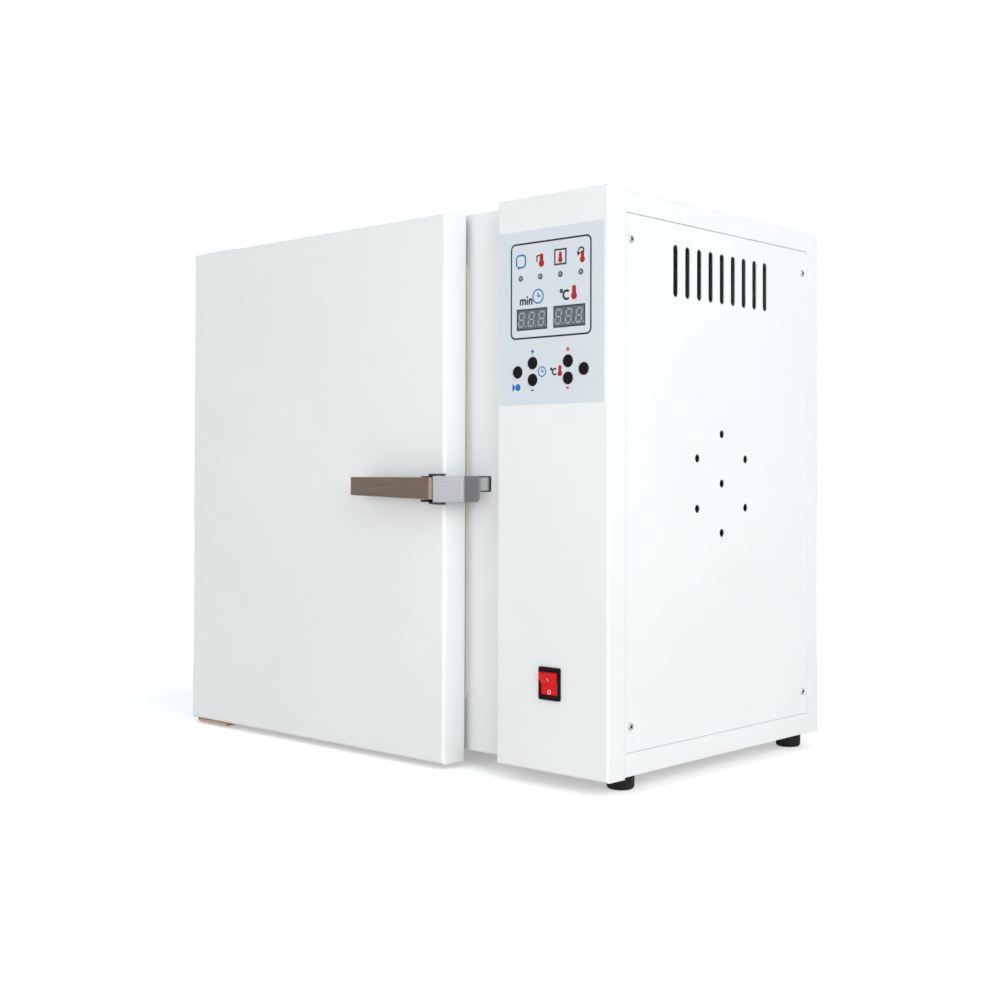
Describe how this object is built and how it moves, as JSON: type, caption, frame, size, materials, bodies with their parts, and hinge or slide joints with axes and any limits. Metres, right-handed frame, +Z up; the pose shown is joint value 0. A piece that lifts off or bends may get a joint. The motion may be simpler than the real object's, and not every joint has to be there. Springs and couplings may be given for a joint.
{
  "type": "dry heat sterilizer",
  "caption": "Bench dry heat sterilizer: insulated steel cabinet on rubber feet with a side-hung door, lever latch, shelved stainless chamber, fan, keypad column and rocker switch.",
  "frame": {"origin": "middle of the footprint of the closed sterilizer, on the bench under its feet", "axes": "+X to the right as one faces the door, +Y to the back, +Z up"},
  "size_m": [0.614, 0.418, 0.554],
  "materials": {
    "white_paint": "satin powder coat",
    "stainless": "brushed",
    "lever_steel": "brushed, warm grey",
    "plated_steel": "zinc plated",
    "strap_steel": "satin",
    "black_plastic": "matte",
    "black_paint": "satin",
    "red_plastic": "gloss",
    "overlay_film": "fine matt film",
    "display_face": "satin",
    "light_bar": "frosted",
    "nylon": "matte",
    "silicone": "matte",
    "rubber": "matte",
    "wool": "fibrous",
    "circuit_board": "satin"
  },
  "bodies": {
    "cabinet": {"case_wrap": "white_paint", "base_tray": "white_paint", "rear_cover": "white_paint", "front_frame": "white_paint", "side_panel": "white_paint", "partition_wall": "plated_steel", "control_cover": "white_paint", "keypad_overlay": "overlay_film", "time_display": "display_face", "temperature_display": "display_face", "display_segments": "light_bar", "indicator_lamps": "light_bar", "control_board": "circuit_board", "switch_bezel": "black_plastic", "chamber": "stainless", "insulation": "wool", "door_seal": "silicone", "heating_element": "lever_steel", "fan_baffle": "stainless", "fan_motor": "black_paint", "motor_bracket": "plated_steel", "shelf_runners": "stainless", "shelf_upper": "stainless", "shelf_middle": "stainless", "shelf_lower": "stainless", "temperature_probe": "stainless", "safety_thermostat": "nylon", "power_relay": "black_plastic", "terminal_block": "nylon", "vent_tube": "stainless", "cable_gland": "black_plastic", "fuse_holder": "black_plastic", "feet": "rubber", "foot_screws": "plated_steel", "side_panel_screws": "plated_steel", "rear_screws": "plated_steel", "hinge_plate_lower": "plated_steel", "hinge_plate_upper": "white_paint", "hinge_pins": "plated_steel", "hinge_screws": "plated_steel", "latch_keeper": "plated_steel"},
    "door": {"door_shell": "white_paint", "door_liner": "stainless", "door_insulation": "wool", "door_bushes": "nylon", "liner_screws": "plated_steel", "latch_bracket": "black_paint", "latch_pin": "plated_steel"},
    "latch": {"lever_grip": "lever_steel", "latch_hub": "black_plastic", "latch_strap": "strap_steel"},
    "fan": {"fan_wheel": "stainless", "fan_shaft": "plated_steel"},
    "power_rocker": {"switch_rocker": "red_plastic"},
    "button_start": {"button_start": "black_plastic"},
    "button_time_plus": {"button_time_plus": "black_plastic"},
    "button_time_minus": {"button_time_minus": "black_plastic"},
    "button_heat_plus": {"button_heat_plus": "black_plastic"},
    "button_heat_minus": {"button_heat_minus": "black_plastic"},
    "button_menu": {"button_menu": "black_plastic"}
  },
  "joints": [
    {"name": "door_swing", "type": "hinge", "parent": "cabinet", "child": "door", "pos_m": [-0.292, -0.17, 0.2775], "axis": [0, 0, -1], "range_deg": [0, 120]},
    {"name": "latch_turn", "type": "hinge", "parent": "door", "child": "latch", "pos_m": [0.118, -0.199, 0.2767], "axis": [0, 0, 1], "range_deg": [0, 14], "stiffness_Nm_per_rad": 0.4},
    {"name": "power_rocker_tip", "type": "hinge", "parent": "cabinet", "child": "power_rocker", "pos_m": [0.239, -0.1734, 0.097], "axis": [-1, 0, 0], "range_deg": [0, 28]},
    {"name": "fan_spin", "type": "hinge", "parent": "cabinet", "child": "fan", "pos_m": [0.0622, 0.01, 0.2828], "axis": [1, 0, 0], "continuous": true},
    {"name": "button_start_press", "type": "slide", "parent": "cabinet", "child": "button_start", "axis": [0, 1, 0], "range_m": [0, 0.0008], "stiffness_N_per_m": 1500},
    {"name": "button_time_plus_press", "type": "slide", "parent": "cabinet", "child": "button_time_plus", "axis": [0, 1, 0], "range_m": [0, 0.0008], "stiffness_N_per_m": 1500},
    {"name": "button_time_minus_press", "type": "slide", "parent": "cabinet", "child": "button_time_minus", "axis": [0, 1, 0], "range_m": [0, 0.0008], "stiffness_N_per_m": 1500},
    {"name": "button_heat_plus_press", "type": "slide", "parent": "cabinet", "child": "button_heat_plus", "axis": [0, 1, 0], "range_m": [0, 0.0008], "stiffness_N_per_m": 1500},
    {"name": "button_heat_minus_press", "type": "slide", "parent": "cabinet", "child": "button_heat_minus", "axis": [0, 1, 0], "range_m": [0, 0.0008], "stiffness_N_per_m": 1500},
    {"name": "button_menu_press", "type": "slide", "parent": "cabinet", "child": "button_menu", "axis": [0, 1, 0], "range_m": [0, 0.0008], "stiffness_N_per_m": 1500}
  ]
}
